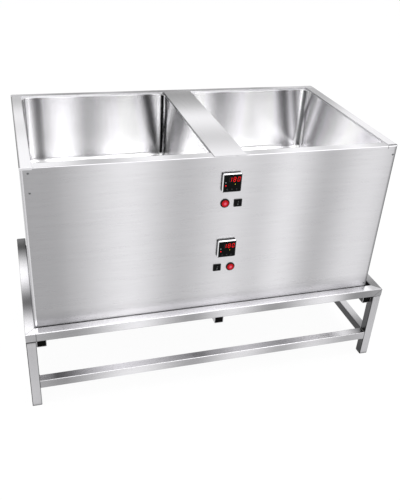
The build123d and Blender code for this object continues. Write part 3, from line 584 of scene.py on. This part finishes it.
# %% Dress the CAD nodes
dressed = set()


def dress(material, names):
    """Gives CAD nodes, named in one line, their finish by their material slots."""
    for name in names.split():
        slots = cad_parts[name].data.materials
        slots.clear()
        slots.append(material)
        dressed.add(name)


for finish, names in (
        (sheet_front, "front_panel"), (sheet_side, "left_side_panel right_side_panel"),
        (sheet_back, "back_panel base_panel"), (rim_left_steel, "left_rim"), (rim_right_steel, "right_rim"),
        (divider_steel, "divider_cover"), (front_rail_steel, "front_top_rail"),
        (front_stretcher_steel, "front_stretcher"), (back_tube_steel, "back_top_rail back_stretcher"),
        (left_tube_steel, "left_top_rail left_stretcher left_support_tube centre_support_tube"),
        (right_tube_steel, "right_top_rail right_stretcher right_support_tube"),
        (left_leg_steel, "front_left_leg"), (right_leg_steel, "front_right_leg"),
        (back_leg_steel, "back_left_leg back_right_leg"), (well_steel, "left_well right_well"),
        (black_cap, "tube_plugs"), (black_abs, "controller_clamps"), (relay_resin, "solid_state_relays"),
        (terminal_resin, "terminal_block"), (gland_nylon, "cable_gland gland_nut"),
        (heater_rubber, "left_heater right_heater"), (insulation, "left_insulation right_insulation"),
        (rivet_steel, "panel_rivets"), (probe_steel, "temperature_probes"), (nut_metal, "button_nuts")):
    dress(finish, names)
for level in ("upper", "lower"):
    dress(black_abs, f"{level}_controller_case {level}_button_body {level}_switch_housing")
    dress(window_acrylic, f"{level}_controller_window")
    dress(key_rubber, f"{level}_mode_key {level}_down_key {level}_up_key")
    dress(rocker_nylon, f"{level}_rocker")
print(len(dressed), "nodes dressed")

# %% [markdown]
# The red cap is red acrylic with a faint glow all over. It is pink in the middle of its front,
# in a soft ball round the middle of each cap that fades to red with distance.

# %% Red lens
PINK_FULL, PINK_END = 1.6, 5.4                     # millimetres from the lens's middle


def front_middle(node):
    """The middle of a node's front, as x, y and z."""
    low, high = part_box(node)
    return (low[0] + high[0]) / 2, low[1], (low[2] + high[2]) / 2


def red_lens(name, node):
    """Red acrylic, pink in the middle of its front, with a faint glow."""
    material, tree, shader, at = new_material(name, IOR=1.49, Roughness=0.18, Specular_IOR_Level=0.15)
    away = add(tree, "VectorMath", {0: at["Object"], 1: front_middle(node)}, operation="DISTANCE")
    glow = add(tree, "MapRange", {"Value": away, "To Min": 1.0, "To Max": 0.0,
                                  **span(PINK_FULL, PINK_END)}, interpolation_type="SMOOTHSTEP")
    tone = layered(tree, linear("#b8020e"), [(glow, linear("#dc5a74"))])
    wire(tree, shader, {"Base Color": tone, "Emission Color": tone, "Emission Strength": 0.1})
    return material


for level in ("upper", "lower"):
    dress(red_lens(f"{level}_red_lens", f"{level}_button_cap"), f"{level}_button_cap")
print(len(dressed), "nodes dressed; left bare:", sorted(set(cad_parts) - dressed))

# %% [markdown]
# What repeats is made by Geometry Nodes: one small shape is put on many points. Each point
# says how its copy is turned and the size is an input, so one tree serves rivets and display
# segments. The result becomes a plain mesh, because a later program can't run the modifier.

# %% Tree that repeats a shape on points
TREE_INPUTS = {}                                   # for each tree, what sets its inputs on a modifier


def start_tree(name, base, kinds):
    """A geometry tree that takes a base geometry and named inputs; gives the tree and their outputs."""
    tree = bpy.data.node_groups.new(name, "GeometryNodeTree")
    TREE_INPUTS[name] = {
        label: tree.interface.new_socket(label, in_out="INPUT", socket_type="NodeSocket" + kind).identifier
        for label, kind in [(base, "Geometry")] + kinds}
    tree.interface.new_socket("Geometry", in_out="OUTPUT", socket_type="NodeSocketGeometry")
    return tree, add(tree, "NodeGroupInput").outputs


def end_tree(tree, copies, finish):
    """Makes the copies real, gives them their finish and ends the tree."""
    solid = add(tree, "GeometryNodeRealizeInstances", {"Geometry": copies})
    coated = add(tree, "GeometryNodeSetMaterial", {"Geometry": solid, "Material": finish})
    add(tree, "NodeGroupOutput", {"Geometry": coated})
    print(tree.name, "takes", list(TREE_INPUTS[tree.name]))


repeat, asked = start_tree("shape_on_points", "Points", [
    ("Shape", "Object"), ("Width", "Float"), ("Height", "Float"), ("Thickness", "Float"),
    ("Finish", "Material")])
shape = add(repeat, "GeometryNodeObjectInfo", {"Object": asked["Shape"]})
turned = add(repeat, "GeometryNodeInputNamedAttribute", {"Name": "turn"}, data_type="FLOAT_VECTOR")
size = add(repeat, "CombineXYZ", {0: asked["Width"], 1: asked["Height"], 2: asked["Thickness"]})
copies = add(repeat, "GeometryNodeInstanceOnPoints", {
    "Points": asked["Points"], "Instance": shape.outputs["Geometry"], "Rotation": turned, "Scale": size})
end_tree(repeat, copies, asked["Finish"])

# %% Helpers that make plain meshes
def new_piece(name, mesh, material=None):
    """An object at the origin with this mesh."""
    if material:
        mesh.materials.clear()
        mesh.materials.append(material)
    return put(name, mesh)


def from_bmesh(name, shape):
    """A mesh from a bmesh, with doubles merged and its faces turned outwards."""
    bmesh.ops.remove_doubles(shape, verts=shape.verts, dist=0.002 * MM)
    bmesh.ops.recalc_face_normals(shape, faces=shape.faces)
    mesh = bpy.data.meshes.new(name)
    shape.to_mesh(mesh)
    shape.free()
    return mesh


def grown(name, tree, base, inputs):
    """Runs a geometry tree on a base mesh and gives its result as a plain piece."""
    piece = new_piece(name, base)
    modifier = piece.modifiers.new("grow", "NODES")
    modifier.node_group = tree
    for label, value in inputs.items():
        modifier[TREE_INPUTS[tree.name][label]] = value
    picture = bpy.context.evaluated_depsgraph_get()
    mesh = bpy.data.meshes.new_from_object(piece.evaluated_get(picture), depsgraph=picture)
    piece.modifiers.clear()
    piece.data = mesh
    print(name, len(mesh.polygons), "faces")
    return piece


def points_mesh(name, points):
    """A mesh of bare points; each is a place in metres and a turn in degrees."""
    mesh = bpy.data.meshes.new(name)
    mesh.from_pydata([place for place, turn in points], [], [])
    turns = mesh.attributes.new("turn", "FLOAT_VECTOR", "POINT")
    for number, (place, turn) in enumerate(points):
        turns.data[number].vector = [math.radians(angle) for angle in turn]
    return mesh


def lathed(name, profile, steps=20):
    """A closed round shape of unit width and height from (radius, height) pairs, lathed about Z."""
    shape = bmesh.new()
    line = [shape.verts.new((radius, 0, height)) for radius, height in profile]
    edges = [shape.edges.new(pair) for pair in zip(line, line[1:])]
    bmesh.ops.spin(shape, geom=line + edges, cent=(0, 0, 0), axis=(0, 0, 1), angle=2 * math.pi, steps=steps)
    return new_piece(name, from_bmesh(name, shape))


print("mesh helpers ready")

# %% [markdown]
# A pop rivet's head is a low dome with a hole in its middle, where the mandrel snapped off.
# Its profile is lathed once at unit size and the tree puts it where the CAD has its rivets.
# The mandrel's stub is a second shape in each head, coloured near black as painted shade in the
# hole. In the photograph the heads are small dark dots, because the hole takes no light.

# %% Rivet heads
HEAD_WIDTH, HEAD_HEIGHT = 5.6, 0.9                 # millimetres


def boxes_of_solids(mesh):
    """The lowest and the highest corner of each separate solid of a mesh."""
    shape = bmesh.new()
    shape.from_mesh(mesh)
    bmesh.ops.remove_doubles(shape, verts=shape.verts, dist=0.01 * MM)
    left, boxes = set(shape.verts), []
    while left:
        queue, places = [left.pop()], []
        while queue:
            point = queue.pop()
            places.append(tuple(point.co))
            others = {edge.other_vert(point) for edge in point.link_edges} & left
            left -= others
            queue.extend(others)
        boxes.append([[pick(values) for values in zip(*places)] for pick in (min, max)])
    shape.free()
    return sorted(boxes)


rivet_points = []
for low, high in boxes_of_solids(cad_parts["panel_rivets"].data):
    in_front = low[1] < 0
    y = low[1] + HEAD_HEIGHT * MM if in_front else high[1] - HEAD_HEIGHT * MM
    place = (low[0] + high[0]) / 2, y, (low[2] + high[2]) / 2
    rivet_points.append((place, (90 if in_front else -90, 0, 0)))
rivet_base = points_mesh("rivet_points", rivet_points)
dome = lathed("rivet_dome", [(0, -0.3), (0.5, -0.3), (0.5, 0.12), (0.47, 0.35), (0.38, 0.72), (0.27, 0.95),
                             (0.21, 1.0), (0.18, 0.94), (0.17, 0.45), (0, 0.45)])
stub = lathed("mandrel_stub", [(0, 0.2), (0.165, 0.2), (0.165, 0.6), (0.12, 0.7), (0, 0.72)], 12)
for name, source, finish in (("rivet_heads", dome, rivet_steel), ("rivet_mandrels", stub, mandrel_painted_shade)):
    head = grown(name, repeat, rivet_base.copy(), {
        "Shape": source, "Width": HEAD_WIDTH * MM, "Height": HEAD_WIDTH * MM, "Thickness": HEAD_HEIGHT * MM,
        "Finish": finish})
    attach(head, "tank_on_stand")
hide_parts("panel_rivets")
for source in (dome, stub):
    bpy.data.objects.remove(source)
print(len(rivet_points), "rivets")

# %% [markdown]
# The stand's tubes are welded where they meet. The welds on the outer faces are ground flush,
# and the ones in the inner corners are left as a row of small overlapping beads. A bead
# follows its seam, so the second tree cuts each seam line into equal steps and puts a bead
# on every step, turned along the line and a little uneven in size.

# %% Tree that lays weld beads along seams
weld, asked = start_tree("beads_along_seams", "Seams", [
    ("Pitch", "Float"), ("Bead width", "Float"), ("Bead length", "Float"), ("Seed", "Int"),
    ("Finish", "Material")])
lines = add(weld, "GeometryNodeMeshToCurve", {"Mesh": asked["Seams"]})
steps = add(weld, "GeometryNodeCurveToPoints", {"Curve": lines, "Length": asked["Pitch"]}, mode="LENGTH")
ball = add(weld, "GeometryNodeMeshUVSphere", {"Segments": 8, "Rings": 5, "Radius": 0.5})
bead = add(weld, "GeometryNodeSetShadeSmooth", {"Geometry": ball})
size = add(weld, "CombineXYZ", {0: asked["Bead width"], 1: asked["Bead width"], 2: asked["Bead length"]})
uneven = add(weld, "FunctionNodeRandomValue", {"Min": 0.82, "Max": 1.12, "Seed": asked["Seed"]},
             data_type="FLOAT")
bead_size = add(weld, "VectorMath", {0: size, 1: uneven}, operation="MULTIPLY")
beads = add(weld, "GeometryNodeInstanceOnPoints", {
    "Points": steps, "Instance": bead, "Rotation": steps.outputs["Rotation"], "Scale": bead_size})
end_tree(weld, beads, asked["Finish"])

# %% Weld beads
LEG_INSET, RAIL_INSET = 3 * MM, 2 * MM             # a seam stops short of a tube's rounded corners
seams = []


def seams_round(low, high, inner_x, inner_y, z):
    """The two level seams on the inner faces of a leg at one height."""
    return [((inner_x, low[1] + LEG_INSET, z), (inner_x, high[1] - LEG_INSET, z)),
            ((low[0] + LEG_INSET, inner_y, z), (high[0] - LEG_INSET, inner_y, z))]


for side in ("left", "right"):
    for end in ("front", "back"):
        low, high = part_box(f"{end}_{side}_leg")
        inner_x = high[0] if side == "left" else low[0]
        inner_y = high[1] if end == "front" else low[1]
        foot, top = [corner[2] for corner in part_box(f"{end}_stretcher")]
        for z in (foot, top):
            seams += seams_round(low, high, inner_x, inner_y, z)
        seams.append(((inner_x, inner_y, foot), (inner_x, inner_y, top)))
        seams += seams_round(low, high, inner_x, inner_y, high[2])
rail_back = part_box("front_top_rail")[1][1]
for name in ("left", "centre", "right"):
    low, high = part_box(f"{name}_support_tube")
    for x in (low[0], high[0]):
        seams.append(((x, low[1] + RAIL_INSET, high[2]), (x, rail_back, high[2])))
seam_mesh = bpy.data.meshes.new("stand_seams")
seam_mesh.from_pydata([end for seam in seams for end in seam],
                      [(2 * i, 2 * i + 1) for i in range(len(seams))], [])
weld_beads = grown("stand_weld_beads", weld, seam_mesh, {
    "Pitch": 1.5 * MM, "Bead width": 2.4 * MM, "Bead length": 2.6 * MM, "Seed": 7, "Finish": weld_steel})
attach(weld_beads, "tank_on_stand")
print(len(seams), "seams")

# %% [markdown]
# A controller of this kind has a thin bright frame round its window. Its left and upper
# bevels mirror the lit side of the room and its right and lower ones the dark panel foot, so
# it looks silver on two sides and dark on the other two. Here that is a painted reflection: the
# bevel's own direction sets the tone of its colour, which keeps it in place in every view.

# %% Bezel frame
BEZEL_LOOPS = ((24.12, 3.0, 4.6), (24.12, 3.0, 2.3), (22.4, 2.0, 0.58), (22.3, 2.0, 1.05),
               (23.6, 2.6, 4.4))                   # half width, corner and depth behind the case's front


def bright_frame(name):
    """Satin chrome with a painted reflection: silver on the bevels that look left and up, and dark
    on those that look right and down.
    """
    material, tree, shader, at = new_material(name, Metallic=1.0)
    # the silver and the dark are a painted reflection, set by which way the bevel looks
    lit = add(tree, "VectorMath", {0: at["Normal"], 1: (-0.7, 0.0, 0.7)}, operation="DOT_PRODUCT")
    share = add(tree, "MapRange", {"Value": lit, "From Min": -0.25, "From Max": 0.3})
    fine = add(tree, "TexNoise", {"Vector": at["Object"], "Scale": 1 / (0.8 * MM), "Detail": 2.0})
    rough = add(tree, "MapRange", {"Value": fine, "To Min": 0.2, "To Max": 0.32})
    wire(tree, shader, {"Base Color": layered(tree, linear("#161718"), [(share, linear("#e6e7e8"))]),
                        "Roughness": rough})
    return material


def rounded_square(half, corner, y, x, z, steps=6):
    """Points round a square with rounded corners, in the plane of the panel."""
    points = []
    for quarter, (sx, sz) in enumerate(((1, 1), (-1, 1), (-1, -1), (1, -1))):
        for step in range(steps + 1):
            angle = math.radians(90 * quarter + 90 * step / steps)
            points.append((x + sx * (half - corner) + corner * math.cos(angle), y,
                           z + sz * (half - corner) + corner * math.sin(angle)))
    return points


def closed_band(shape, loops):
    """Faces between neighbouring loops, and from the last back to the first, as one closed ring."""
    rows = [[shape.verts.new(point) for point in loop] for loop in loops]
    for near, far in zip(rows, rows[1:] + rows[:1]):
        for i in range(len(near)):
            j = (i + 1) % len(near)
            shape.faces.new((near[i], near[j], far[j], far[i]))


frame_chrome = bright_frame("satin_chrome_bezel")
centres = {}
for level in ("upper", "lower"):
    x, front, z = front_middle(f"{level}_controller_case")
    centres[level] = (x, front_middle(f"{level}_controller_window")[1], z)
    shape = bmesh.new()
    closed_band(shape, [rounded_square(half * MM, corner * MM, front + behind * MM, x, z)
                        for half, corner, behind in BEZEL_LOOPS])
    bezel = new_piece(f"{level}_bezel_frame", from_bmesh(f"{level}_bezel_frame", shape), frame_chrome)
    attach(bezel, "tank_on_stand")
print("bezel frames round", {level: [round(c, 4) for c in place] for level, place in centres.items()})

# %% [markdown]
# The display is a row of seven-segment digits behind the smoked window. A segment is a bar
# with pointed ends, so one bar is drawn once and put on 21 points by the repeat tree: the
# lit ones in a glowing red and the unlit ones in a red so dark that they barely show. The
# number is only a reading, as on a dial.

# %% Seven-segment digits
SEGMENTS = {"a": (0, 2), "b": (1, 1), "c": (1, -1), "d": (0, -2), "e": (-1, -1), "f": (-1, 1), "g": (0, 0)}
READING = {"1": "bc", "8": "abcdefg", "0": "abcdef"}
DIGIT_PLACES = {"1": -5.4, "8": 5.3, "0": 16.0}    # millimetres right of the controller's middle
DIGIT_RISE, SEGMENT_OUT, SEGMENT_UP, SLANT = 9.4, 2.6, 2.75, 0.13  # above it, a segment's steps, the slant
BEFORE_WINDOW = 0.04                               # millimetres from the window to a segment's middle
LEAN = math.degrees(math.atan(SLANT)) - 90         # an upright segment's turn


def prism(shape, corners, push):
    """Adds a closed prism to a bmesh: a face through the corners, pushed along a vector."""
    face = shape.faces.new([shape.verts.new(corner) for corner in corners])
    pushed = bmesh.ops.extrude_face_region(shape, geom=[face], use_keep_orig=True)["geom"]
    bmesh.ops.translate(shape, vec=push, verts=[v for v in pushed if isinstance(v, bmesh.types.BMVert)])


bar_shape = bmesh.new()
prism(bar_shape, [(x, y, -0.5) for x, y in ((-0.5, 0), (-0.38, 0.5), (0.38, 0.5), (0.5, 0), (0.38, -0.5),
                                            (-0.38, -0.5))], (0, 0, 1))
segment_bar = new_piece("segment_bar", from_bmesh("segment_bar", bar_shape))
lit_red = moulded("lit_red_segment", "#e60c12", 0.4, glow=0.9, gloss=0.1)
unlit_red = moulded("unlit_red_segment", "#1c0406", 0.4)
lamp_red = moulded("red_pilot_lamp", "#dc1016", 0.4, glow=0.8, gloss=0.1)
lamp_yellow = moulded("yellow_green_lamp", "#a8a416", 0.4, glow=0.6)
print_grey = moulded("grey_printed_mark", "#b4b8b8", 0.6)

for level, (cx, cy, cz) in centres.items():
    points = {"lit": [], "unlit": []}
    for digit, across in DIGIT_PLACES.items():
        for segment, (out, rise) in SEGMENTS.items():
            height = rise * SEGMENT_UP
            place = (cx + (across + out * SEGMENT_OUT + SLANT * height) * MM, cy - BEFORE_WINDOW * MM,
                     cz + (DIGIT_RISE + height) * MM)
            state = "lit" if segment in READING[digit] else "unlit"
            points[state].append((place, (90, LEAN if out else 0, 0)))
    for state, finish in (("lit", lit_red), ("unlit", unlit_red)):
        base = points_mesh(f"{level}_{state}_points", points[state])
        digits = grown(f"{level}_{state}_segments", repeat, base, {
            "Shape": segment_bar, "Width": 4.7 * MM, "Height": 0.9 * MM, "Thickness": 0.2 * MM,
            "Finish": finish})
        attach(digits, "tank_on_stand")
bpy.data.objects.remove(segment_bar)

# %% [markdown]
# The lamps and printed marks are thin discs and bars that lie on the surface under them. A
# key's face is flat and a rocker's is dished, so each point of a mark is dropped straight
# back on to the part's own surface, and the mark follows it.

# %% Marks that follow a surface
DROP_FROM, MARK_THICK = -0.4, 0.12 * MM            # a place before the panel, and a mark's thickness


def printed(name, node, outlines, finish, body):
    """A mark on the front of a node: outlines are lists of (x, z) in metres."""
    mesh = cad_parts[node].data
    skin = BVHTree.FromPolygons([v.co for v in mesh.vertices], [p.vertices[:] for p in mesh.polygons])
    shape = bmesh.new()
    for outline in outlines:
        hits = [skin.ray_cast(Vector((x, DROP_FROM, z)), Vector((0, 1, 0)))[0] for x, z in outline]
        prism(shape, [(x, hit.y - MARK_THICK / 2, z) for (x, z), hit in zip(outline, hits)],
              (0, MARK_THICK, 0))
    mark = new_piece(name, from_bmesh(name, shape), finish)
    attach(mark, body)


def disc(x, z, radius, sides=20):
    """The outline of a round mark."""
    turns = [2 * math.pi * i / sides for i in range(sides)]
    return [(x + radius * math.cos(a), z + radius * math.sin(a)) for a in turns]


def bar(x, z, width, height):
    """The outline of a mark with four corners."""
    return [(x + sx * width / 2, z + sz * height / 2) for sx, sz in ((-1, -1), (1, -1), (1, 1), (-1, 1))]


def ring_pieces(x, z, outer, inner, sides=24):
    """A flat ring as a run of four-sided outlines."""
    far, near = disc(x, z, outer, sides), disc(x, z, inner, sides)
    return [[a, b, c, d] for a, b, c, d in zip(far, far[1:] + far[:1], near[1:] + near[:1], near)]


for level, (cx, cy, cz) in centres.items():
    window = f"{level}_controller_window"
    for name, outlines, finish in (
            ("red_lamp", [disc(cx - 16 * MM, cz - 6 * MM, 1.5 * MM)], lamp_red),
            ("yellow_lamp", [bar(cx + 7.4 * MM, cz - 3.2 * MM, 1.8 * MM, 1.8 * MM)], lamp_yellow),
            ("side_mark", [bar(cx - 16.6 * MM, cz + 1.8 * MM, 3.4 * MM, 1.0 * MM)], print_grey)):
        printed(f"{level}_{name}", window, outlines, finish, "tank_on_stand")
print("lamps and window marks on both controllers")

# %% Key and rocker marks
def key_sign(key, x, z):
    """A ring on the mode key, and arrows down and up on the other two."""
    if key == "mode":
        return ring_pieces(x, z, 1.2 * MM, 0.7 * MM, 16)
    way = 1 if key == "up" else -1
    return [[(x - 1.3 * MM, z - way * 0.8 * MM), (x + 1.3 * MM, z - way * 0.8 * MM), (x, z + way * 1.1 * MM)]]


key_print = moulded("dim_key_print", "#4c5052", 0.6)
rocker_print = moulded("grey_rocker_print", "#5c6062", 0.6)
for level in ("upper", "lower"):
    for key in ("mode", "down", "up"):
        node = f"{level}_{key}_key"
        x, _, z = front_middle(node)
        printed(f"{node}_mark", node, key_sign(key, x, z), key_print, node)
    node = f"{level}_rocker"
    x, _, z = front_middle(node)
    for sign, outlines in (("bar", [bar(x, z + 3.6 * MM, 1.1 * MM, 3.6 * MM)]),
                           ("ring", ring_pieces(x, z - 3.6 * MM, 2.0 * MM, 1.2 * MM))):
        printed(f"{node}_{sign}", node, outlines, rocker_print, node)
print("marks on six keys and two rockers")
